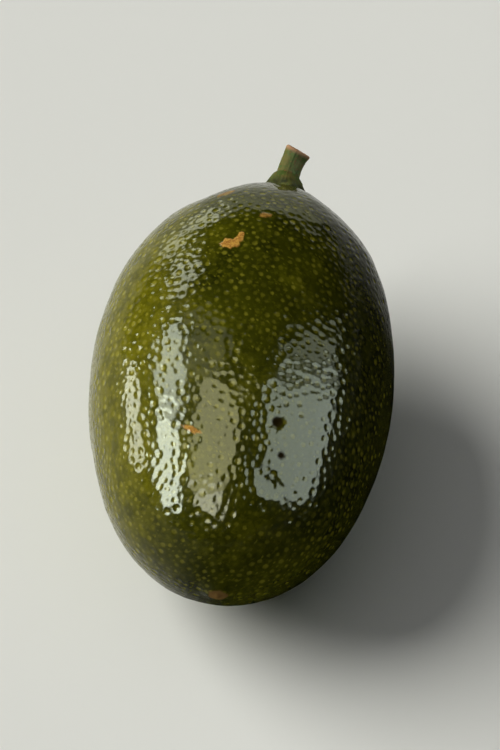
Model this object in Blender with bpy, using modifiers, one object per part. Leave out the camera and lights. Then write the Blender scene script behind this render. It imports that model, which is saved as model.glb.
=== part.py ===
# A finger lime as picked: an egg-shaped fruit lying on a small flat spot, and its stem stub.
# Metres, +Z up. The long axis lies along Y with the stem end at +Y and a little up, and the
# origin is the centre of the flat spot. Each body is turned upright about its own long axis,
# shaped by a rule that moves its points, and then laid down.

import math

import bpy

OBJECT_NAME = "finger_lime"

# Fruit
FRUIT_LENGTH = 0.0568
FRUIT_WIDTH = 0.0372
STEM_END_PINCH = 0.30
STEM_PINCH_START = 0.52
BLOSSOM_END_FULLNESS = 0.09
BLOSSOM_FULLNESS_START = 0.38
CAVITY_DEPTH = 0.0013
CAVITY_RADIUS = 0.0044
TIP_HEIGHT = 0.0008
TIP_RADIUS = 0.0030
STEM_END_SHIFT = 0.0018
STEM_END_RISE = 0.0008
MIDDLE_LINE_CURVE = 2.5
REST_TILT = math.radians(5.0)
FLAT_SPOT_DEPTH = 0.00055
FRUIT_SIDES = 72
FRUIT_RINGS = 56
RING_CROWDING = 0.4

# Unevenness of the fruit's section: waves around it, share of the radius, turn, twist
SECTION_WAVES = (
    (2, 0.009, 0.0, 0.0),
    (3, 0.010, 0.9, 0.7),
    (5, 0.0035, -0.4, 1.6),
)

# Shallow furrows that run up to the stem cavity, between these shares of the half length
FURROW_COUNT = 7
FURROW_SHARE = 0.020
FURROW_TURN = 0.6
FURROW_START = 0.55
FURROW_FULL = 0.85
FURROW_END = 0.97

# Stem stub and its calyx
STUB_LENGTH = 0.0069
STUB_RADIUS = 0.00145
STUB_END_RADIUS = 0.00165
STUB_END_DISH = 0.00025
STUB_END_ROUND = 0.0003
STUB_RIBS = 3
STUB_RIB_SHARE = 0.05
SHANK_RINGS = 7
CALYX_RADIUS = 0.0030
CALYX_EDGE = 0.0005
CALYX_RISE = 0.0034
CALYX_LOBES = 5
CALYX_LOBE_SHARE = 0.15
CALYX_RINGS = 4
STUB_BEND = math.radians(46.0)
STUB_BEND_SIDE = math.radians(48.0)
STUB_BEND_START = 0.0008
STUB_SHIFT = 0.0009
STUB_SIDES = 40
SEAT_GAP = 0.0004

MERGE_DISTANCE = 0.00001

RIND_COLOUR = (0.052, 0.056, 0.004, 1.0)
RIND_ROUGHNESS = 0.3
STALK_COLOUR = (0.16, 0.14, 0.05, 1.0)
STALK_ROUGHNESS = 0.7


def ease(share):
    """Rises smoothly from 0 to 1."""
    share = min(1.0, max(0.0, share))
    return share * share * (3.0 - 2.0 * share)


def clear_scene():
    for obj in list(bpy.data.objects):
        bpy.data.objects.remove(obj, do_unlink=True)


def new_collection(name):
    collection = bpy.data.collections.new(name)
    bpy.context.scene.collection.children.link(collection)
    return collection


def material(name, colour, roughness):
    mat = bpy.data.materials.new(name)
    mat.use_nodes = True
    shader = mat.node_tree.nodes["Principled BSDF"]
    shader.inputs["Base Color"].default_value = colour
    shader.inputs["Roughness"].default_value = roughness
    shader.inputs["Metallic"].default_value = 0.0
    mat.diffuse_color = colour
    return mat


def turned(name, outline, sides, collection):
    """A closed body turned about Z from (radius, height) points listed from top to bottom."""
    guide = bpy.data.meshes.new(name + "_outline")
    points = [(radius, 0.0, height) for radius, height in outline]
    edges = [(i, i + 1) for i in range(len(points) - 1)]
    guide.from_pydata(points, edges, [])
    obj = bpy.data.objects.new(name, guide)
    collection.objects.link(obj)
    turn = obj.modifiers.new("Turn", "SCREW")
    turn.angle = 2.0 * math.pi
    turn.steps = sides
    turn.render_steps = sides
    turn.use_merge_vertices = True
    turn.merge_threshold = MERGE_DISTANCE
    evaluated = obj.evaluated_get(bpy.context.evaluated_depsgraph_get())
    body = bpy.data.meshes.new_from_object(evaluated)
    body.name = name
    obj.modifiers.clear()
    obj.data = body
    bpy.data.meshes.remove(guide)
    return obj


def move_points(obj, rule):
    for vertex in obj.data.vertices:
        vertex.co = rule(*vertex.co)


def taper(lift):
    """Share of the plain oval's radius: pinched at the stem end, full at the blossom end."""
    pinch = max(0.0, (lift - STEM_PINCH_START) / (1.0 - STEM_PINCH_START))
    full = max(0.0, (-lift - BLOSSOM_FULLNESS_START) / (1.0 - BLOSSOM_FULLNESS_START))
    return 1.0 - STEM_END_PINCH * pinch**3 + BLOSSOM_END_FULLNESS * full**1.5


def cavity_drop(radius):
    return CAVITY_DEPTH * (1.0 - ease(radius / CAVITY_RADIUS))


def tip_drop(radius):
    return TIP_HEIGHT * (1.0 - ease(radius / TIP_RADIUS))


def fruit_outline():
    """From the stem pole to the blossom pole, with the rings closer together at both."""
    points = []
    for ring in range(FRUIT_RINGS + 1):
        share = ring / FRUIT_RINGS
        angle = math.pi * share - RING_CROWDING / 2 * math.sin(2.0 * math.pi * share)
        lift = math.cos(angle)
        radius = 0.0
        if 0 < ring < FRUIT_RINGS:
            radius = FRUIT_WIDTH / 2 * math.sin(angle) * taper(lift)
        drop = cavity_drop(radius) if lift > 0.0 else tip_drop(radius)
        points.append((radius, FRUIT_LENGTH / 2 * lift - drop))
    return points


def middle_line(lift):
    """Where the fruit's middle line has wandered to at this height, across its long axis."""
    wander = max(0.0, lift) ** MIDDLE_LINE_CURVE
    return STEM_END_SHIFT * wander, -STEM_END_RISE * wander


def uneven_fruit(x, y, z):
    lift = max(-1.0, min(1.0, 2.0 * z / FRUIT_LENGTH))
    around = math.atan2(y, x)
    share = 1.0
    for waves, size, turn, twist in SECTION_WAVES:
        share += (1.0 - lift**4) * size * math.cos(waves * around + turn + twist * lift)
    furrow_reach = ease((lift - FURROW_START) / (FURROW_FULL - FURROW_START))
    furrow_reach *= ease((1.0 - lift) / (1.0 - FURROW_END))
    share += FURROW_SHARE * furrow_reach * math.cos(FURROW_COUNT * around + FURROW_TURN)
    middle_x, middle_y = middle_line(lift)
    return (x * share + middle_x, y * share + middle_y, z)


def seat_height(radius):
    """Height of the stem's seat in the cavity, at this distance from the stem's axis."""
    end_radius = FRUIT_WIDTH / 2 * (1.0 - STEM_END_PINCH)
    dome = FRUIT_LENGTH / 2 * math.sqrt(1.0 - (radius / end_radius) ** 2)
    return dome - cavity_drop(radius) + SEAT_GAP


def stub_outline():
    """From the cut end down the stub, over the calyx and back under it to the axis."""
    foot = seat_height(0.0)
    end = foot + STUB_LENGTH
    rim = end - STUB_END_ROUND
    shank_foot = foot + CALYX_RISE
    calyx_top = seat_height(CALYX_RADIUS) + CALYX_EDGE
    points = [
        (0.0, end - STUB_END_DISH),
        (STUB_RADIUS / 2, end - STUB_END_DISH),
        (STUB_END_RADIUS - STUB_END_ROUND, end),
    ]
    for ring in range(SHANK_RINGS):
        share = ring / (SHANK_RINGS - 1)
        flare = 1.0 - ease(3.0 * share)
        radius = STUB_RADIUS + (STUB_END_RADIUS - STUB_RADIUS) * flare
        points.append((radius, rim + (shank_foot - rim) * share))
    for ring in range(1, CALYX_RINGS + 1):
        share = ring / CALYX_RINGS
        radius = STUB_RADIUS + (CALYX_RADIUS - STUB_RADIUS) * share
        points.append((radius, shank_foot + (calyx_top - shank_foot) * ease(share)))
    for ring in range(CALYX_RINGS, 0, -1):
        radius = CALYX_RADIUS * ring / CALYX_RINGS
        points.append((radius, seat_height(radius)))
    points.append((0.0, foot))
    return points


def bent_stub(x, y, z):
    """Curves the stub to one side and up, along an arc that starts above the calyx."""
    rise = max(0.0, z - seat_height(0.0) - STUB_BEND_START)
    turn = STUB_BEND * rise / STUB_LENGTH
    sweep = STUB_LENGTH / STUB_BEND
    side_x = math.cos(STUB_BEND_SIDE)
    side_y = -math.sin(STUB_BEND_SIDE)
    along = x * side_x + y * side_y
    across = y * side_x - x * side_y
    out = sweep * (1.0 - math.cos(turn)) + along * math.cos(turn)
    up = z - rise + sweep * math.sin(turn) - along * math.sin(turn)
    return (out * side_x - across * side_y, out * side_y + across * side_x, up)


def lobed_and_bent(x, y, z):
    """Spreads the calyx into lobes, ribs the stub, bends it and sets it just off the stem pole."""
    around = math.atan2(y, x)
    root = STUB_RADIUS + (CALYX_RADIUS - STUB_RADIUS) / CALYX_RINGS / 2
    reach = ease((math.hypot(x, y) - root) / (CALYX_RADIUS - root))
    lobe = CALYX_LOBE_SHARE * reach * math.cos(CALYX_LOBES * around)
    rib = STUB_RIB_SHARE * (1.0 - reach) * math.cos(STUB_RIBS * around)
    share = 1.0 + lobe + rib
    x, y, z = bent_stub(x * share, y * share, z)
    middle_x, middle_y = middle_line(1.0)
    return (x + middle_x + STUB_SHIFT, y + middle_y, z)


def lay_down(obj):
    """Lays the long axis along +Y with the stem end a little up, over the flat spot."""
    half_length = FRUIT_LENGTH / 2
    half_width = FRUIT_WIDTH / 2
    rise = math.sin(REST_TILT)
    run = math.cos(REST_TILT)
    middle_height = math.hypot(half_length * rise, half_width * run)
    middle_ahead = (half_length**2 - half_width**2) * rise * run / middle_height
    obj.rotation_euler = (REST_TILT - math.pi / 2, 0.0, 0.0)
    obj.location = (0.0, middle_ahead, middle_height - FLAT_SPOT_DEPTH)
    obj.data.shade_smooth()


def cut_flat_spot(fruit, cutters):
    """Takes off the small flat that the fruit lies on."""
    depth = FRUIT_WIDTH / 2
    bpy.ops.mesh.primitive_cube_add(size=1.0, location=(0.0, 0.0, -depth / 2))
    cutter = bpy.context.active_object
    cutter.name = "flat_spot_cut"
    cutter.scale = (FRUIT_WIDTH, FRUIT_LENGTH, depth)
    for collection in list(cutter.users_collection):
        collection.objects.unlink(cutter)
    cutters.objects.link(cutter)
    cutter.hide_render = True
    cutter.display_type = "WIRE"
    cut = fruit.modifiers.new("Flat spot", "BOOLEAN")
    cut.operation = "DIFFERENCE"
    cut.solver = "EXACT"
    cut.object = cutter


def main():
    clear_scene()
    parts = new_collection(OBJECT_NAME)
    cutters = new_collection("cutters")

    fruit = turned("fruit", fruit_outline(), FRUIT_SIDES, parts)
    move_points(fruit, uneven_fruit)
    lay_down(fruit)
    cut_flat_spot(fruit, cutters)
    fruit.data.materials.append(material("rind", RIND_COLOUR, RIND_ROUGHNESS))

    stub = turned("stem_stub", stub_outline(), STUB_SIDES, parts)
    move_points(stub, lobed_and_bent)
    lay_down(stub)
    stub.data.materials.append(material("stalk", STALK_COLOUR, STALK_ROUGHNESS))


main()
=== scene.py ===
import math
import random

import bmesh
import bpy
import numpy as np
from mathutils import Euler, Matrix, Vector, noise
from mathutils.kdtree import KDTree


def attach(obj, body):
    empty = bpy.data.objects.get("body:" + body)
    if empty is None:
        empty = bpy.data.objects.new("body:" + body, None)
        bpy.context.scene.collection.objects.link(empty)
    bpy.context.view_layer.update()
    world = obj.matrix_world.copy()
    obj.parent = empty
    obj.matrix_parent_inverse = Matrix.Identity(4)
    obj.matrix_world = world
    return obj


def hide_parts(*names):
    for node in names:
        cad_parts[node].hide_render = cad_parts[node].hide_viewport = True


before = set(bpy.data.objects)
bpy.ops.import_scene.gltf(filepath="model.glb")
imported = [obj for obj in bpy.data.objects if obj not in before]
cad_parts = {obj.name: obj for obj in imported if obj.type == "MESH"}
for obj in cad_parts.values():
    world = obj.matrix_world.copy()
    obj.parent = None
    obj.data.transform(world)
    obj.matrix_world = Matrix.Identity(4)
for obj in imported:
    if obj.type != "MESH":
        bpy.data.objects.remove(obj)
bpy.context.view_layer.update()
scene = bpy.context.scene
print("frame loaded")


# helpers for shapes

def ease(share):
    share = np.clip(share, 0.0, 1.0)
    return share * share * (3.0 - 2.0 * share)


def setPoints(mesh, points):
    mesh.vertices.foreach_set("co", np.asarray(points, np.float32).ravel())
    mesh.update()


def readNormals(mesh):
    normals = np.zeros(len(mesh.vertices) * 3, np.float32)
    mesh.vertices.foreach_get("normal", normals)
    return normals.reshape(-1, 3).astype(float)


def setAttribute(mesh, name, values):
    attribute = mesh.attributes.new(name, "FLOAT", "POINT")
    attribute.data.foreach_set("value", np.asarray(values, np.float32))


def noiseAt(points, grain, shift):
    # smooth noise from about -1 to 1
    offset = Vector((shift, shift * 0.7, shift * 1.3))
    return np.array([noise.noise(Vector(p) / grain + offset) for p in points])


def newPiece(name, mesh):
    piece = bpy.data.objects.new(name, mesh)
    scene.collection.objects.link(piece)
    mesh.shade_smooth()
    return piece


# helpers for materials

def newMaterial(name):
    material = bpy.data.materials.new(name)
    material.use_nodes = True
    return material, material.node_tree.nodes["Principled BSDF"]


def addNode(material, kind, values=None, **settings):
    node = material.node_tree.nodes.new(kind)
    for key, value in settings.items():
        setattr(node, key, value)
    for key, value in (values or {}).items():
        node.inputs[key].default_value = value
    return node


def join(material, source, target):
    material.node_tree.links.new(source, target)


def placeCoordinates(material):
    # places on the piece in millimetres
    coordinates = addNode(material, "ShaderNodeTexCoord")
    scaled = addNode(material, "ShaderNodeVectorMath", operation="SCALE")
    scaled.inputs["Scale"].default_value = 1000.0
    join(material, coordinates.outputs["Object"], scaled.inputs[0])
    return scaled.outputs["Vector"]


def noiseNode(material, place, grain, detail, roughness, distortion):
    node = addNode(material, "ShaderNodeTexNoise", {
        "Scale": 1.0 / grain, "Detail": detail, "Roughness": roughness, "Distortion": distortion})
    join(material, place, node.inputs["Vector"])
    return node.outputs["Fac"]


def attributeNode(material, name):
    return addNode(material, "ShaderNodeAttribute", attribute_name=name).outputs["Fac"]


def spread(material, value, low, high, toLow=0.0, toHigh=1.0):
    node = addNode(material, "ShaderNodeMapRange", {
        "From Min": low, "From Max": high, "To Min": toLow, "To Max": toHigh})
    node.interpolation_type = "SMOOTHSTEP"
    join(material, value, node.inputs["Value"])
    return node.outputs["Result"]


def mathNode(material, operation, first, second):
    # the second value is a socket or a number
    node = addNode(material, "ShaderNodeMath", operation=operation)
    join(material, first, node.inputs[0])
    if isinstance(second, float):
        node.inputs[1].default_value = second
    else:
        join(material, second, node.inputs[1])
    return node.outputs[0]


def times(material, first, second):
    return mathNode(material, "MULTIPLY", first, second)


def plus(material, first, second):
    return mathNode(material, "ADD", first, second)


def blendColour(material, share, below, above):
    # each colour is a colour socket or three numbers
    node = addNode(material, "ShaderNodeMix", data_type="RGBA")
    join(material, share, node.inputs[0])
    for socket, colour in ((node.inputs[6], below), (node.inputs[7], above)):
        if isinstance(colour, tuple):
            socket.default_value = (*colour, 1.0)
        else:
            join(material, colour, socket)
    return node.outputs[2]


def addBump(material, shader, height, strength, depth):
    bump = addNode(material, "ShaderNodeBump", {"Strength": strength, "Distance": depth})
    join(material, height, bump.inputs["Height"])
    join(material, bump.outputs["Normal"], shader.inputs["Normal"])


# the fruit: sizes in metres, lift from -1 at the blossom end to 1 at the stem end, and
# around and turn in degrees

fruitValues = {
    # the same form as its solid
    "length": 0.0568,
    "width": 0.0372,
    "stemPinch": 0.30,
    "pinchStart": 0.52,
    "blossomFullness": 0.09,
    "fullnessStart": 0.38,
    "cavityDepth": 0.0013,
    "cavityRadius": 0.0044,
    "tipHeight": 0.0008,
    "tipRadius": 0.0030,
    "stemShift": 0.0018,
    "stemRise": 0.0008,
    "middleCurve": 2.5,
    "restTilt": math.radians(5.0),
    "flatDepth": 0.00055,
    # waves round the section: how many, share of the radius, turn, twist
    "waves": ((2, 0.009, 0.0, 0.0), (3, 0.010, 0.9, 0.7), (5, 0.0035, -0.4, 1.6)),
    "furrows": 7,
    "furrowShare": 0.020,
    "furrowTurn": 0.6,
    "furrowStart": 0.55,
    "furrowFull": 0.85,
    "furrowEnd": 0.97,
    # fineness of the mesh
    "aroundCuts": 111,
    "alongCuts": 154,
    # oil glands: ranges of radius, spacing as a share of two radii, depth as a share of one
    "glands": {
        "seed": 7,
        "sizes": ((0.00036, 0.00054), (0.00018, 0.00028)),
        "spacing": (1.04, 1.04),
        "jitter": 0.0001,
        "depth": 0.18,
        "leastDepth": 0.6,
        "toneDepth": 0.7,
        "toneCurve": 1.5,
        "reach": 1.15,
    },
    # unevenness of the skin: shift of its noise, grain and height
    "swells": ((0.0, 0.0060, 0.000090), (5.0, 0.0026, 0.000062), (10.0, 0.0012, 0.000020)),
    # corky marks: size is length and width, cork how strong they are, age from fresh 0 to old 1
    "marks": (
        {"lift": 0.385, "around": -98, "size": (0.0026, 0.0018), "turn": 80, "cork": 1, "age": 0},
        {"lift": 0.42, "around": -94.5, "size": (0.002, 0.001), "turn": 15, "cork": 0.9, "age": 0},
        {"lift": 0.57, "around": -85, "size": (0.0019, 0.001), "turn": 80, "cork": 0.5, "age": 0.2},
        {"lift": 0.74, "around": -112, "size": (0.0028, 0.0016), "turn": 60, "cork": 0.4, "age": 0.2},
        {"lift": -0.52, "around": -106, "size": (0.0026, 0.0008), "turn": 110, "cork": 0.8, "age": 0},
        {"lift": 0.12, "around": 20, "size": (0.0032, 0.0012), "turn": 10, "cork": 0.8, "age": 0.7},
        {"lift": -0.35, "around": 165, "size": (0.0016, 0.0014), "turn": 0, "cork": 0.7, "age": 0.6},
        {"lift": 0.5, "around": 100, "size": (0.002, 0.0009), "turn": 120, "cork": 0.6, "age": 0.9},
        {"lift": -0.7, "around": 40, "size": (0.0014, 0.001), "turn": 30, "cork": 0.6, "age": 0.8},
    ),
    # edge of the marks as shares of their half size, then grains and heights
    "markEdge": {
        "reach": 1.15,
        "soft": 0.5,
        "ragged": 0.45,
        "rimReach": 1.1,
        "rimWidth": 0.22,
        "raggedGrain": 0.0006,
        "crustGrain": 0.0003,
        "crustHeight": 0.00003,
        "rimDepth": 0.00004,
    },
    # single deep dents, each darker towards its middle: painted shade
    "dents": (
        {"lift": -0.45, "around": -69, "radius": 0.0012, "depth": 0.00022, "dark": 1.0},
        {"lift": -0.58, "around": -64, "radius": 0.0010, "depth": 0.00018, "dark": 0.8},
        {"lift": -0.70, "around": -66, "radius": 0.0019, "depth": 0.00020, "dark": 0.3},
        {"lift": 0.05, "around": -150, "radius": 0.0009, "depth": 0.00012, "dark": 0.4},
        {"lift": 0.30, "around": 60, "radius": 0.0010, "depth": 0.00014, "dark": 0.8},
        {"lift": -0.20, "around": 120, "radius": 0.0011, "depth": 0.00016, "dark": 0.6},
    ),
    # blossom end: a sunken corky disc, a ring round it and a nub where the style was
    "tip": {
        "reach": 0.0024,
        "discRadius": 0.0014,
        "discEdge": 0.0005,
        "discRagged": 0.0003,
        "raggedGrain": 0.0007,
        "discSunk": 0.00008,
        "discRough": 0.00004,
        "roughGrain": 0.0004,
        "cork": 0.85,
        "nubRadius": 0.0007,
        "nubHeight": 0.00035,
        "ringRadius": 0.0012,
        "ringWidth": 0.0003,
        "ringHeight": 0.00006,
    },
    "colours": {
        "dark": (0.012, 0.0145, 0.0008),
        "green": (0.047, 0.050, 0.0014),
        "olive": (0.086, 0.085, 0.0035),
        "pale": (0.140, 0.129, 0.005),
        "dot": (0.170, 0.158, 0.013),
        "dotPale": (0.250, 0.228, 0.022),
        "spot": (0.020, 0.014, 0.004),
        "cork": (0.52, 0.29, 0.055),
        "corkDark": (0.28, 0.12, 0.025),
        "corkOld": (0.16, 0.092, 0.030),
    },
    # noises: grain in millimetres, detail, roughness, distortion
    "noises": {
        "broad": (16.0, 3.0, 0.5, 0.6),
        "patch": (5.0, 4.0, 0.6, 0.4),
        "mottle": (1.7, 3.0, 0.6, 0.3),
        "speckle": (0.8, 3.0, 0.6, 0.0),
        "crumb": (0.35, 3.0, 0.7, 0.0),
        "gloss": (3.0, 3.0, 0.5, 0.0),
        "fine": (0.16, 3.0, 0.6, 0.0),
    },
    # where each effect starts and where it is full, then its values there if not 0 and 1
    "ranges": {
        "green": (0.36, 0.60),
        "olive": (0.52, 0.70),
        "pale": (0.34, 1.14),
        "shaded": (0.05, -0.45),
        "shadow": (0.56, 0.36),
        "shadowOnPale": (0.0, 0.85, 0.75, 0.35),
        "light": (0.50, 0.72),
        "dotStrength": (0.70, 1.85, 0.04, 0.85),
        "dot": (0.38, 0.95),
        "spot": (0.15, 0.70),
        "crumb": (0.35, 0.65),
        "scar": (0.05, 0.75),
        "roughness": (0.3, 0.7, 0.20, 0.30),
        "wornSpot": (0.2, 0.8),
        "coat": (0.0, 1.0, 1.0, 0.0),
    },
    # how much of each goes into a blend
    "shares": {
        "broad": 0.6,
        "patch": 0.4,
        "flankPatch": 0.5,
        "pale": 0.88,
        "shaded": 0.85,
        "deepShadow": 0.6,
        "light": 0.5,
        "dotTone": 0.8,
        "dotMottle": 1.7,
        "dotSpeckle": 0.5,
    },
    "corkRoughness": 0.8,
    "coatIor": 1.25,
    "coatRoughness": 0.11,
    "bumpStrength": 0.25,
    "bumpDepth": 0.00002,
}


def taper(lift):
    form = fruitValues
    pinch = np.maximum(0.0, (lift - form["pinchStart"]) / (1.0 - form["pinchStart"]))
    full = np.maximum(0.0, (-lift - form["fullnessStart"]) / (1.0 - form["fullnessStart"]))
    return 1.0 - form["stemPinch"] * pinch**3 + form["blossomFullness"] * full**1.5


def cavityDrop(radius):
    return fruitValues["cavityDepth"] * (1.0 - ease(radius / fruitValues["cavityRadius"]))


def middleLine(lift):
    wander = np.maximum(0.0, lift) ** fruitValues["middleCurve"]
    return fruitValues["stemShift"] * wander, -fruitValues["stemRise"] * wander


def fruitPoints(directions):
    # upright fruit, stem end at +Z: one point for each direction from its middle
    form = fruitValues
    lift = directions[:, 2]
    around = np.arctan2(directions[:, 1], directions[:, 0])
    radius = form["width"] / 2 * np.sqrt(np.maximum(0.0, 1.0 - lift**2)) * taper(lift)
    tipDrop = form["tipHeight"] * (1.0 - ease(radius / form["tipRadius"]))
    height = form["length"] / 2 * lift - np.where(lift > 0.0, cavityDrop(radius), tipDrop)
    level = np.clip(2.0 * height / form["length"], -1.0, 1.0)
    share = np.ones(len(level))
    for count, size, turn, twist in form["waves"]:
        share += (1.0 - level**4) * size * np.cos(count * around + turn + twist * level)
    reach = ease((level - form["furrowStart"]) / (form["furrowFull"] - form["furrowStart"]))
    reach *= ease((1.0 - level) / (1.0 - form["furrowEnd"]))
    share += form["furrowShare"] * reach * np.cos(form["furrows"] * around + form["furrowTurn"])
    middleX, middleY = middleLine(level)
    across = radius * share
    return np.stack([across * np.cos(around) + middleX, across * np.sin(around) + middleY, height], 1)


def layDown(points):
    # the long axis goes along +Y with the stem end a little up, the flat spot at the origin
    form = fruitValues
    halfLength, halfWidth = form["length"] / 2, form["width"] / 2
    rise, run = math.sin(form["restTilt"]), math.cos(form["restTilt"])
    middleHeight = math.hypot(halfLength * rise, halfWidth * run)
    middleAhead = (halfLength**2 - halfWidth**2) * rise * run / middleHeight
    turn = np.array(Euler((form["restTilt"] - math.pi / 2, 0.0, 0.0)).to_matrix())
    place = np.array([0.0, middleAhead, middleHeight - form["flatDepth"]])
    return points @ turn.T + place


def rindCage():
    # a box of even small squares, drawn out to a ball of directions
    cage = bmesh.new()
    bmesh.ops.create_cube(cage, size=2.0)
    upright = [e for e in cage.edges if abs(e.verts[0].co.z - e.verts[1].co.z) > 1.0]
    bmesh.ops.subdivide_edges(cage, edges=upright, cuts=fruitValues["alongCuts"], use_grid_fill=True)
    level = [e for e in cage.edges if abs(e.verts[0].co.z - e.verts[1].co.z) < 0.0001]
    bmesh.ops.subdivide_edges(cage, edges=level, cuts=fruitValues["aroundCuts"], use_grid_fill=True)
    mesh = bpy.data.meshes.new("fruit_rind")
    cage.to_mesh(mesh)
    cage.free()
    corners = np.zeros(len(mesh.vertices) * 3, np.float32)
    mesh.vertices.foreach_get("co", corners)
    directions = np.tan(corners.reshape(-1, 3).astype(float) * math.pi / 4)
    directions /= np.linalg.norm(directions, axis=1)[:, None]
    return mesh, directions


def placeOnRind(lift, around):
    angle = math.radians(around)
    flat = math.sqrt(1.0 - lift * lift)
    direction = np.array([[flat * math.cos(angle), flat * math.sin(angle), lift]])
    return Vector(layDown(fruitPoints(direction))[0])


def isClear(grid, key, place, radius, spacing):
    # only glands in this cell and the cells round it can be too close
    x, y, z = place
    for i in (-1, 0, 1):
        for j in (-1, 0, 1):
            for k in (-1, 0, 1):
                for ox, oy, oz, other in grid.get((key[0] + i, key[1] + j, key[2] + k), ()):
                    gap = (radius + other) * spacing
                    if (x - ox) ** 2 + (y - oy) ** 2 + (z - oz) ** 2 < gap * gap:
                        return False
    return True


def scatterGlands(points):
    # seeded: each gland keeps clear of those already there, the large ones first
    form = fruitValues["glands"]
    dice = random.Random(form["seed"])
    cell = 2.0 * form["sizes"][0][1] * form["spacing"][0]
    grid = {}
    glands = []
    for (smallest, largest), spacing in zip(form["sizes"], form["spacing"]):
        order = list(range(len(points)))
        dice.shuffle(order)
        for index in order:
            radius = dice.uniform(smallest, largest)
            jitter = [dice.uniform(-form["jitter"], form["jitter"]) for axis in range(3)]
            x, y, z = points[index] + jitter
            key = (math.floor(x / cell), math.floor(y / cell), math.floor(z / cell))
            if isClear(grid, key, (x, y, z), radius, spacing):
                grid.setdefault(key, []).append((x, y, z, radius))
                glands.append((Vector((x, y, z)), radius, dice.random()))
    return glands


def pitGlands(points, tree, relief):
    # each gland is a shallow round pit, and its mask and tone go to the material
    form = fruitValues["glands"]
    gland = np.zeros(len(points))
    glandTone = np.zeros(len(points))
    glands = scatterGlands(points)
    for centre, radius, tone in glands:
        depth = radius * form["depth"] * (form["leastDepth"] + form["toneDepth"] * tone)
        reach = radius * form["reach"]
        for co, index, distance in tree.find_range(centre, reach):
            share = max(0.0, 1.0 - (distance / reach) ** 2) ** 2
            if share > gland[index]:
                gland[index] = share
                glandTone[index] = tone ** form["toneCurve"]
            relief[index] = min(relief[index], -depth * share)
    print("rind:", len(points), "points,", len(glands), "glands")
    return gland, glandTone


def growMarks(points, normals, tree, relief):
    # each mark is a ragged patch with a rough crust and a thin sunken edge
    form = fruitValues["markEdge"]
    scar = np.zeros(len(points))
    age = np.zeros(len(points))
    for number, mark in enumerate(fruitValues["marks"]):
        centre = placeOnRind(mark["lift"], mark["around"])
        length, width = mark["size"]
        near = [index for co, index, distance in tree.find_range(centre, length)]
        normal = Vector(normals[near].mean(0)).normalized()
        along = normal.cross(Vector((1.0, 0.0, 0.0))).normalized()
        side = along.cross(normal)
        turn = math.radians(mark["turn"])
        first = along * math.cos(turn) + side * math.sin(turn)
        second = side * math.cos(turn) - along * math.sin(turn)
        for index in near:
            offset = Vector(points[index]) - centre
            u = offset.dot(first) / (length / 2)
            v = offset.dot(second) / (width / 2)
            ragged = form["ragged"] * noise.noise(offset / form["raggedGrain"] + Vector((number, 0, 0)))
            distance = math.hypot(u, v) + ragged
            share = ease((form["reach"] - distance) / form["soft"])
            rim = math.exp(-((distance - form["rimReach"]) / form["rimWidth"]) ** 2)
            crust = form["crustHeight"] * (1.0 + noise.noise(offset / form["crustGrain"]))
            relief[index] = relief[index] * (1.0 - share) + share * crust
            relief[index] -= form["rimDepth"] * rim * mark["cork"]
            scar[index] = max(scar[index], share * mark["cork"])
            age[index] = mark["age"]
    return scar, age


def pressDents(points, tree, relief):
    spot = np.zeros(len(points))
    for dent in fruitValues["dents"]:
        centre = placeOnRind(dent["lift"], dent["around"])
        for co, index, distance in tree.find_range(centre, dent["radius"]):
            fall = (1.0 - (distance / dent["radius"]) ** 2) ** 2
            relief[index] -= dent["depth"] * fall
            spot[index] = max(spot[index], dent["dark"] * fall)
    return spot


def shapeTip(points, tree, relief, scar, age):
    form = fruitValues["tip"]
    for co, index, distance in tree.find_range(placeOnRind(-1.0, 0.0), form["reach"]):
        place = Vector(points[index])
        ragged = form["discRagged"] * noise.noise(place / form["raggedGrain"])
        share = ease((form["discRadius"] + ragged - distance) / form["discEdge"])
        ring = math.exp(-((distance - form["ringRadius"]) / form["ringWidth"]) ** 2)
        nub = form["nubHeight"] * ease(1.0 - distance / form["nubRadius"])
        sunken = form["discRough"] * noise.noise(place / form["roughGrain"]) - form["discSunk"]
        relief[index] = relief[index] * (1.0 - share) + share * sunken + nub
        relief[index] += form["ringHeight"] * ring
        scar[index] = max(scar[index], form["cork"] * share)
        age[index] = 1.0


def makeRind():
    mesh, directions = rindCage()
    points = layDown(fruitPoints(directions))
    setPoints(mesh, points)
    normals = readNormals(mesh)
    tree = KDTree(len(points))
    for index, point in enumerate(points):
        tree.insert(point, index)
    tree.balance()

    relief = np.zeros(len(points))
    gland, glandTone = pitGlands(points, tree, relief)
    for shift, grain, height in fruitValues["swells"]:
        relief += height * noiseAt(points, grain, shift)
    scar, age = growMarks(points, normals, tree, relief)
    spot = pressDents(points, tree, relief)
    shapeTip(points, tree, relief, scar, age)

    moved = points + normals * relief[:, None]
    moved[:, 2] = np.maximum(moved[:, 2], 0.0)  # the flat spot that it rests on
    setPoints(mesh, moved)
    setAttribute(mesh, "gland", gland)
    setAttribute(mesh, "glandTone", glandTone)
    setAttribute(mesh, "scar", scar)
    setAttribute(mesh, "age", age)
    setAttribute(mesh, "spot", spot)
    # how far each point faces towards the key light, for the painted light and shade on the flanks
    setAttribute(mesh, "towardKeyLight", -directions[:, 0])
    piece = newPiece("fruit_rind", mesh)
    mesh.materials.append(rindMaterial())
    return piece


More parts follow.
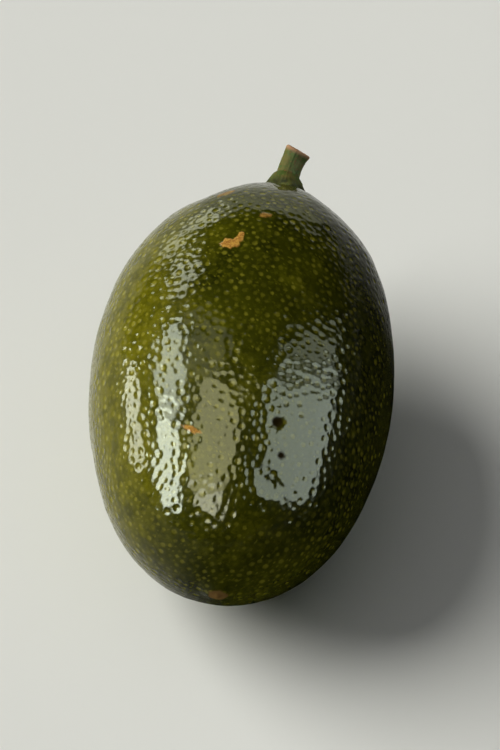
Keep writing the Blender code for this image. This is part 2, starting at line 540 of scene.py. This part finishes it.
def rindMaterial():
    material, shader = newMaterial("rind")
    place = placeCoordinates(material)
    colours, noises = fruitValues["colours"], fruitValues["noises"]
    ranges, shares = fruitValues["ranges"], fruitValues["shares"]

    broad = noiseNode(material, place, *noises["broad"])
    patch = noiseNode(material, place, *noises["patch"])
    mottle = noiseNode(material, place, *noises["mottle"])
    speckle = noiseNode(material, place, *noises["speckle"])
    shade = plus(material, times(material, broad, shares["broad"]), times(material, patch, shares["patch"]))

    greenness = spread(material, shade, *ranges["green"])
    skin = blendColour(material, greenness, colours["dark"], colours["green"])
    skin = blendColour(material, spread(material, shade, *ranges["olive"]), skin, colours["olive"])

    # painted light and shade: the flank towards the key light is paler and the other darker, partly the
    # rind's own uneven tone and partly painted light and painted shade
    towardKeyLight = attributeNode(material, "towardKeyLight")
    uneven = plus(material, towardKeyLight, times(material, patch, shares["flankPatch"]))
    pale = times(material, spread(material, uneven, *ranges["pale"]), shares["pale"])
    skin = blendColour(material, pale, skin, colours["pale"])
    shaded = times(material, spread(material, uneven, *ranges["shaded"]), shares["shaded"])
    skin = blendColour(material, shaded, skin, colours["dark"])

    # small dark and light mottling between the glands, the dark weaker where the rind is pale
    weaker = spread(material, pale, *ranges["shadowOnPale"])
    shadow = times(material, spread(material, mottle, *ranges["shadow"]), weaker)
    skin = blendColour(material, shadow, skin, colours["green"])
    skin = blendColour(material, times(material, shadow, shares["deepShadow"]), skin, colours["dark"])
    light = times(material, spread(material, speckle, *ranges["light"]), shares["light"])
    skin = blendColour(material, light, skin, colours["olive"])

    # each gland shows as a paler dot, some stronger than others
    gland = attributeNode(material, "gland")
    tone = times(material, attributeNode(material, "glandTone"), shares["dotTone"])
    cluster = plus(material, tone, times(material, mottle, shares["dotMottle"]))
    strength = spread(material, cluster, *ranges["dotStrength"])
    ragged = plus(material, gland, times(material, speckle, shares["dotSpeckle"]))
    dot = times(material, spread(material, ragged, *ranges["dot"]), strength)
    # the dots are paler on the paler flank too, partly painted light
    dotColour = blendColour(material, pale, colours["dot"], colours["dotPale"])
    skin = blendColour(material, dot, skin, dotColour)

    # painted shade: the rind is darker towards the middle of each dent
    spot = attributeNode(material, "spot")
    skin = blendColour(material, spread(material, spot, *ranges["spot"]), skin, colours["spot"])

    # cork is crumbly and orange when fresh, plain brown when old
    scar = attributeNode(material, "scar")
    crumb = spread(material, noiseNode(material, place, *noises["crumb"]), *ranges["crumb"])
    cork = blendColour(material, crumb, colours["corkDark"], colours["cork"])
    cork = blendColour(material, attributeNode(material, "age"), cork, colours["corkOld"])
    skin = blendColour(material, spread(material, scar, *ranges["scar"]), skin, cork)
    join(material, skin, shader.inputs["Base Color"])

    # the waxy coat makes all the shine, and leaves cork and dark dents dull
    gloss = spread(material, noiseNode(material, place, *noises["gloss"]), *ranges["roughness"])
    dull = addNode(material, "ShaderNodeMix", data_type="FLOAT")
    join(material, scar, dull.inputs[0])
    join(material, gloss, dull.inputs[2])
    dull.inputs[3].default_value = fruitValues["corkRoughness"]
    join(material, dull.outputs[0], shader.inputs["Roughness"])
    shader.inputs["Specular IOR Level"].default_value = 0.0
    shader.inputs["Coat IOR"].default_value = fruitValues["coatIor"]
    shader.inputs["Coat Roughness"].default_value = fruitValues["coatRoughness"]
    worn = mathNode(material, "MAXIMUM", scar, spread(material, spot, *ranges["wornSpot"]))
    join(material, spread(material, worn, *ranges["coat"]), shader.inputs["Coat Weight"])

    # fine skin texture between the glands
    fine = noiseNode(material, place, *noises["fine"])
    addBump(material, shader, fine, fruitValues["bumpStrength"], fruitValues["bumpDepth"])
    return material


rind = makeRind()
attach(rind, "root")
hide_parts("fruit")
print("rind made")


# the stem stub: sizes in metres

stubValues = {
    # the same form as its solid
    "length": 0.0069,
    "radius": 0.00145,
    "endRadius": 0.00165,
    "endDish": 0.00025,
    "endRound": 0.0003,
    "calyxRadius": 0.0030,
    "calyxEdge": 0.0005,
    "calyxRound": 0.0003,
    "calyxRise": 0.0034,
    "lobes": 5,
    "lobeShare": 0.15,
    "lobeStart": 0.125,
    "ribs": 3,
    "ribShare": 0.05,
    "bend": math.radians(46.0),
    "bendSide": math.radians(48.0),
    "bendStart": 0.0008,
    "gap": 0.0004,
    "sink": 0.0005,
    "shift": 0.0009,
    # fineness of the mesh, and how often its outline is softened
    "sides": 160,
    "rings": 170,
    "softPasses": 3,
    # reach of the cut face's look, as shares of its dish and its radius
    "faceDepth": 1.3,
    "faceReach": 0.9,
    # grains, shifts and heights of the bark's relief
    "bark": {
        "ridgeCrowding": 3.2,
        "ridgeLength": 0.004,
        "ridgeScale": 2.2,
        "ridgeHeight": 0.00005,
        "wartGrain": 0.0005,
        "wartShift": 3.0,
        "wartStart": 0.35,
        "wartHeight": 0.00012,
        "roughGrain": 0.00035,
        "roughShift": 9.0,
        "roughHeight": 0.00002,
        "cutHeight": 0.00004,
    },
    "colours": {
        "green": (0.046, 0.078, 0.010),
        "footShadeGreen": (0.010, 0.014, 0.003),
        "tan": (0.095, 0.090, 0.018),
        "brown": (0.150, 0.072, 0.022),
        "wood": (0.47, 0.33, 0.19),
        "pith": (0.24, 0.13, 0.060),
        "rim": (0.42, 0.22, 0.12),
    },
    # noises: grain in millimetres, detail, roughness, distortion
    "noises": {
        "patch": (1.6, 3.0, 0.6, 0.0),
        "fleck": (0.35, 3.0, 0.65, 0.0),
        "bark": (0.14, 3.0, 0.6, 0.0),
    },
    # where each effect starts and where it is full, then its values there if not 0 and 1
    "ranges": {
        "tan": (0.42, 0.58),
        "brown": (0.52, 0.68),
        "calyx": (0.0, 0.6),
        "calyxFleck": (0.35, 0.6),
        "foot": (0.40, 0.16),
        "footPatch": (0.3, 0.6),
        "nearCut": (0.88, 0.99),
        "wood": (0.12, 0.38),
        "rim": (0.62, 0.85),
        "cutFleck": (0.5, 0.7),
        "roughness": (0.3, 0.7, 0.5, 0.8),
    },
    "nearCutShare": 0.8,
    "cutFleckShare": 0.6,
    "specular": 0.06,
    "bumpStrength": 0.4,
    "bumpDepth": 0.00005,
}


def seatHeight(radius):
    # the top of the upright fruit at this radius, with the gap over it
    form = fruitValues
    endRadius = form["width"] / 2 * (1.0 - form["stemPinch"])
    dome = form["length"] / 2 * math.sqrt(1.0 - (radius / endRadius) ** 2)
    return dome - cavityDrop(radius) + stubValues["gap"]


def stubOutline():
    # from the cut end down the stub, over the calyx and back under it
    form = stubValues
    foot = seatHeight(0.0)
    end = foot + form["length"]
    rim = end - form["endRound"]
    shankFoot = foot + form["calyxRise"]
    calyxTop = seatHeight(form["calyxRadius"]) + form["calyxEdge"] - form["sink"] * 0.6
    line = [(0.0, end - form["endDish"]), (form["radius"] * 0.5, end - form["endDish"]),
            (form["endRadius"] * 0.72, end - form["endDish"] * 0.6),
            (form["endRadius"] * 0.86, end), (form["endRadius"] * 0.97, end - form["endRound"] * 0.35)]
    for step in range(7):
        share = step / 6
        flare = 1.0 - ease(3.0 * share)
        radius = form["radius"] + (form["endRadius"] - form["radius"]) * flare
        line.append((radius, rim + (shankFoot - rim) * share))
    for step in range(1, 5):
        share = step / 4
        radius = form["radius"] + (form["calyxRadius"] - form["radius"]) * share
        line.append((radius, shankFoot + (calyxTop - shankFoot) * ease(share)))
    line.append((form["calyxRadius"] * 1.01, calyxTop - form["calyxRound"]))
    for step in range(4, 0, -1):
        radius = form["calyxRadius"] * step / 4
        line.append((radius, seatHeight(radius) - form["sink"]))
    line.append((0.0, foot - form["sink"]))
    return line


def evenLine(line, count):
    # the same line with points evenly spaced along it
    line = np.array(line)
    steps = np.linalg.norm(np.diff(line, axis=0), axis=1)
    reach = np.concatenate([[0.0], np.cumsum(steps)])
    wanted = np.linspace(0.0, reach[-1], count)
    return np.stack([np.interp(wanted, reach, line[:, 0]), np.interp(wanted, reach, line[:, 1])], 1)


def softLine(line, passes):
    line = line.copy()
    for step in range(passes):
        line[1:-1] = 0.25 * line[:-2] + 0.5 * line[1:-1] + 0.25 * line[2:]
    return line


def bendStub(x, y, z):
    form = stubValues
    rise = np.maximum(0.0, z - seatHeight(0.0) - form["bendStart"])
    turn = form["bend"] * rise / form["length"]
    sweep = form["length"] / form["bend"]
    sideX, sideY = math.cos(form["bendSide"]), -math.sin(form["bendSide"])
    along = x * sideX + y * sideY
    across = y * sideX - x * sideY
    out = sweep * (1.0 - np.cos(turn)) + along * np.cos(turn)
    up = z - rise + sweep * np.sin(turn) - along * np.sin(turn)
    return out * sideX - across * sideY, out * sideY + across * sideX, up


def tubeFaces(rings, sides):
    # squares between the rings, and a fan to the middle of each end
    faces = []
    for ring in range(rings - 1):
        for side in range(sides):
            a = ring * sides + side
            b = ring * sides + (side + 1) % sides
            faces.append((a, a + sides, b + sides, b))
    top = rings * sides
    last = top - sides
    for side in range(sides):
        faces.append((top, side, (side + 1) % sides))
        faces.append((top + 1, last + (side + 1) % sides, last + side))
    return faces


def barkRelief(points, around, height, atEnd):
    # fine ridges along the stub, warts, and a crumbly cut face
    bark = stubValues["bark"]
    crowding = bark["ridgeCrowding"]
    ridgePlaces = np.stack([np.cos(around) * crowding, np.sin(around) * crowding,
                            height / bark["ridgeLength"]], 1)
    ridges = np.array([noise.noise(Vector(p) * bark["ridgeScale"]) for p in ridgePlaces])
    warts = np.maximum(0.0, noiseAt(points, bark["wartGrain"], bark["wartShift"]) - bark["wartStart"])
    rough = noiseAt(points, bark["roughGrain"], bark["roughShift"])
    relief = bark["ridgeHeight"] * ridges + bark["wartHeight"] * warts + bark["roughHeight"] * rough
    return np.where(atEnd, bark["cutHeight"] * rough, relief)


def makeStub():
    form = stubValues
    sides = form["sides"]
    line = softLine(evenLine(stubOutline(), form["rings"]), form["softPasses"])
    inner = line[1:-1]
    radius = np.repeat(inner[:, 0], sides)
    height = np.repeat(inner[:, 1], sides)
    around = np.tile(np.arange(sides) * 2.0 * math.pi / sides, len(inner))

    # lobes round the calyx and ribs along the shank
    root = form["radius"] + (form["calyxRadius"] - form["radius"]) * form["lobeStart"]
    reach = ease((radius - root) / (form["calyxRadius"] - root))
    lobe = form["lobeShare"] * reach * np.cos(form["lobes"] * around)
    rib = form["ribShare"] * (1.0 - reach) * np.cos(form["ribs"] * around)
    across = radius * (1.0 + lobe + rib)
    points = np.stack(bendStub(across * np.cos(around), across * np.sin(around), height), 1)

    # the middles of the cut face and of the foot come last
    points = np.concatenate([points, [bendStub(0.0, 0.0, line[0, 1]), (0.0, 0.0, line[-1, 1])]])
    middleX, middleY = middleLine(1.0)
    points = layDown(points + np.array([middleX + form["shift"], middleY, 0.0]))
    mesh = bpy.data.meshes.new("stem_stub_bark")
    mesh.from_pydata(points.tolist(), [], tubeFaces(len(inner), sides))
    normals = readNormals(mesh)

    end = seatHeight(0.0) + form["length"]
    lowest, widest = end - form["endDish"] * form["faceDepth"], form["endRadius"] * form["faceReach"]
    atEnd = np.concatenate([(height > lowest) & (radius < widest), [True, False]])
    around = np.concatenate([around, [0.0, 0.0]])
    height = np.concatenate([height, [end, 0.0]])
    radius = np.concatenate([radius, [0.0, 0.0]])
    calyx = np.concatenate([reach, [0.0, 1.0]])
    setPoints(mesh, points + normals * barkRelief(points, around, height, atEnd)[:, None])
    setAttribute(mesh, "cut", np.where(atEnd, 1.0, 0.0))
    setAttribute(mesh, "cutRadius", radius / form["endRadius"])
    setAttribute(mesh, "calyx", calyx)
    setAttribute(mesh, "rise", (height - seatHeight(0.0)) / form["length"])
    piece = newPiece("stem_stub_bark", mesh)
    mesh.materials.append(stubMaterial())
    return piece


def stubMaterial():
    material, shader = newMaterial("stub_bark")
    place = placeCoordinates(material)
    colours, noises, ranges = stubValues["colours"], stubValues["noises"], stubValues["ranges"]
    patch = noiseNode(material, place, *noises["patch"])
    fleck = noiseNode(material, place, *noises["fleck"])
    bark = blendColour(material, spread(material, patch, *ranges["tan"]), colours["green"], colours["tan"])
    bark = blendColour(material, spread(material, fleck, *ranges["brown"]), bark, colours["brown"])
    onCalyx = spread(material, attributeNode(material, "calyx"), *ranges["calyx"])
    tanShare = times(material, onCalyx, spread(material, fleck, *ranges["calyxFleck"]))
    bark = blendColour(material, tanShare, bark, colours["tan"])

    # painted shade: dark green in patches low on the stub and under the calyx; brown just under the cut
    rise = attributeNode(material, "rise")
    atFoot = spread(material, rise, *ranges["foot"])
    footShade = times(material, atFoot, spread(material, patch, *ranges["footPatch"]))
    bark = blendColour(material, footShade, bark, colours["footShadeGreen"])
    nearCut = times(material, spread(material, rise, *ranges["nearCut"]), stubValues["nearCutShare"])
    bark = blendColour(material, nearCut, bark, colours["rim"])

    # the cut face: pith in the middle, wood round it, then the rim
    cut = attributeNode(material, "cut")
    cutRadius = attributeNode(material, "cutRadius")
    outOfPith = spread(material, cutRadius, *ranges["wood"])
    wood = blendColour(material, outOfPith, colours["pith"], colours["wood"])
    wood = blendColour(material, spread(material, cutRadius, *ranges["rim"]), wood, colours["rim"])
    flecks = times(material, spread(material, fleck, *ranges["cutFleck"]), stubValues["cutFleckShare"])
    wood = blendColour(material, flecks, wood, colours["pith"])
    join(material, blendColour(material, cut, bark, wood), shader.inputs["Base Color"])
    join(material, spread(material, fleck, *ranges["roughness"]), shader.inputs["Roughness"])
    shader.inputs["Specular IOR Level"].default_value = stubValues["specular"]
    grain = noiseNode(material, place, *noises["bark"])
    addBump(material, shader, grain, stubValues["bumpStrength"], stubValues["bumpDepth"])
    return material


stub = makeStub()
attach(stub, "root")
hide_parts("stem_stub")
print("stem stub made")


# floor, light and camera: distances in metres, directions as degrees from +Y towards +X and up

studioValues = {
    "floorColour": (0.78, 0.79, 0.77),
    "floorSize": 12.0,
    "backgroundColour": (0.655, 0.659, 0.608),
    "middle": (0.0, 0.0, 0.024),
    # panes of light, seen only in the shine, which reach from one direction to another
    "panes": (
        {"name": "left_upper_pane", "from": (-58, 38), "to": (-98, 46), "distance": 0.8, "width": 0.25,
         "brightness": 23.6, "colour": (0.91, 1.0, 0.83)},
        {"name": "left_lower_pane", "from": (-97, 45), "to": (-133, 8), "distance": 0.8, "width": 0.25,
         "brightness": 45.4, "colour": (0.91, 1.0, 0.84)},
        {"name": "left_low_pane", "from": (-72, 7), "to": (-101, 7), "distance": 0.45, "width": 0.10,
         "brightness": 24.0, "colour": (0.96, 1.0, 0.80)},
        {"name": "back_left_pane", "from": (-41, 20), "to": (-39, 34), "distance": 0.8, "width": 0.15,
         "brightness": 13.8, "colour": (0.95, 1.0, 0.78)},
        {"name": "back_wall", "from": (-42, 5), "to": (26, 5), "distance": 0.8, "width": 0.16,
         "brightness": 1.40, "colour": (0.97, 1.0, 0.80)},
        {"name": "back_left_low_pane", "from": (-40, 6), "to": (-18, 6), "distance": 0.8, "width": 0.14,
         "brightness": 4.85, "colour": (0.97, 1.0, 0.78)},
        {"name": "overhead_back_pane", "from": (-58, 53), "to": (-40, 79), "distance": 0.8, "width": 0.26,
         "brightness": 2.45, "colour": (0.98, 1.0, 0.75)},
        {"name": "overhead_pane", "from": (-80, 84), "to": (-158, 44), "distance": 1.3, "width": 0.78,
         "brightness": 13.8, "colour": (1.0, 0.98, 0.55)},
        {"name": "overhead_low_pane", "from": (-163, 44), "to": (-166, 22), "distance": 1.3, "width": 0.55,
         "brightness": 24.5, "colour": (0.99, 1.0, 0.74)},
        {"name": "right_window", "from": (128, 57), "to": (94, 9), "distance": 0.8, "width": 0.70,
         "brightness": 12.5, "colour": (0.87, 1.0, 0.84)},
        {"name": "right_side_window", "from": (65, 58), "to": (65, 14), "distance": 0.8, "width": 0.15,
         "brightness": 5.2, "colour": (0.90, 1.0, 0.78)},
    ),
    # soft suns, which light the colour and the floor and don't show in the shine
    "suns": (
        {"name": "key_light", "from": (-77, 37), "spread": 50, "strength": 3.7,
         "colour": (1.0, 0.99, 0.93)},
        {"name": "fill_light", "from": (0, 90), "spread": 70, "strength": 0.42,
         "colour": (1.0, 1.0, 1.0)},
    ),
    # dark card just over the floor: a fan between these turns, in degrees from +X towards +Y
    "card": {
        "height": 0.0002,
        "inner": 0.004,
        "outer": 0.80,
        "from": 75,
        "to": -135,
        "step": 5,
        "fadeIn": 40,
        "fadeOut": 45,
        "colour": (0.01, 0.01, 0.01),
    },
    "camera": {
        "from": (174.5, 55.0),
        "distance": 0.85,
        "lens": 330.0,
        "aim": (0.0010, 0.0042, 0.0185),
        "clip": (0.01, 20.0),
    },
}


def directionTo(azimuth, elevation):
    turn, rise = math.radians(azimuth), math.radians(elevation)
    return Vector((math.sin(turn) * math.cos(rise), math.cos(turn) * math.cos(rise), math.sin(rise)))


def makePane(settings):
    start, end = directionTo(*settings["from"]), directionTo(*settings["to"])
    middle = (start + end).normalized()
    along = (end - start).normalized()
    across = middle.cross(along).normalized()
    light = bpy.data.lights.new(settings["name"], "AREA")
    light.shape = "RECTANGLE"
    light.size = 2.0 * settings["distance"] * math.tan(start.angle(end) / 2)
    light.size_y = settings["width"]
    light.energy = settings["brightness"] * math.pi * light.size * light.size_y
    light.color = settings["colour"]
    lamp = bpy.data.objects.new(settings["name"], light)
    place = Vector(studioValues["middle"]) + middle * settings["distance"]
    turn = Matrix((along, across, middle)).transposed()
    lamp.matrix_world = Matrix.Translation(place) @ turn.to_4x4()
    lamp.visible_camera = False
    lamp.visible_diffuse = False
    scene.collection.objects.link(lamp)


def makeSun(settings):
    light = bpy.data.lights.new(settings["name"], "SUN")
    light.angle = math.radians(settings["spread"])
    light.energy = settings["strength"]
    light.color = settings["colour"]
    lamp = bpy.data.objects.new(settings["name"], light)
    lamp.rotation_euler = directionTo(*settings["from"]).to_track_quat("Z", "Y").to_euler()
    lamp.visible_glossy = False
    scene.collection.objects.link(lamp)


def mattMaterial(name, colour):
    material, shader = newMaterial(name)
    shader.inputs["Base Color"].default_value = (*colour, 1.0)
    shader.inputs["Roughness"].default_value = 1.0
    shader.inputs["Specular IOR Level"].default_value = 0.0
    return material


def makeFloor():
    mesh = bpy.data.meshes.new("floor")
    half = studioValues["floorSize"] / 2
    corners = [(-half, -half, 0.0), (half, -half, 0.0), (half, half, 0.0), (-half, half, 0.0)]
    mesh.from_pydata(corners, [], [(0, 1, 2, 3)])
    floor = bpy.data.objects.new("floor", mesh)
    scene.collection.objects.link(floor)
    mesh.materials.append(mattMaterial("floor", studioValues["floorColour"]))


def makeDarkCard():
    # it lies at the right and in front, fades out at both ends and is seen only in the shine
    form = studioValues["card"]
    mesh = bpy.data.meshes.new("dark_card")
    turns = list(range(form["from"], form["to"] - 1, -form["step"]))
    points = []
    fades = []
    for reach in (form["inner"], form["outer"]):
        for turn in turns:
            angle = math.radians(turn)
            points.append((reach * math.cos(angle), reach * math.sin(angle), form["height"]))
            fade = min((form["from"] - turn) / form["fadeIn"], (turn - form["to"]) / form["fadeOut"])
            fades.append(ease(fade))
    count = len(turns)
    faces = [(step + 1, count + step + 1, count + step, step) for step in range(count - 1)]
    mesh.from_pydata(points, [], faces)
    setAttribute(mesh, "fade", fades)
    card = bpy.data.objects.new("dark_card", mesh)
    scene.collection.objects.link(card)
    material = mattMaterial("dark_card", form["colour"])
    shader = material.node_tree.nodes["Principled BSDF"]
    join(material, attributeNode(material, "fade"), shader.inputs["Alpha"])
    mesh.materials.append(material)
    card.visible_camera = False
    card.visible_diffuse = False
    card.visible_shadow = False


def makeWorld():
    # only the camera sees the pale background: it gives no light and doesn't show in the shine
    world = bpy.data.worlds.new("studio")
    scene.world = world
    world.use_nodes = True
    background = world.node_tree.nodes["Background"]
    background.inputs["Color"].default_value = (*studioValues["backgroundColour"], 1.0)
    world.cycles_visibility.diffuse = False
    world.cycles_visibility.glossy = False


def makeCamera():
    settings = studioValues["camera"]
    back = directionTo(*settings["from"])
    data = bpy.data.cameras.new("camera")
    data.lens = settings["lens"]
    data.clip_start, data.clip_end = settings["clip"]
    camera = bpy.data.objects.new("camera", data)
    camera.location = Vector(settings["aim"]) + back * settings["distance"]
    camera.rotation_euler = (-back).to_track_quat("-Z", "Y").to_euler()
    scene.collection.objects.link(camera)
    scene.camera = camera


makeFloor()
makeDarkCard()
makeWorld()
for pane in studioValues["panes"]:
    makePane(pane)
for sun in studioValues["suns"]:
    makeSun(sun)
makeCamera()
scene.view_settings.view_transform = "Standard"
print("studio made")
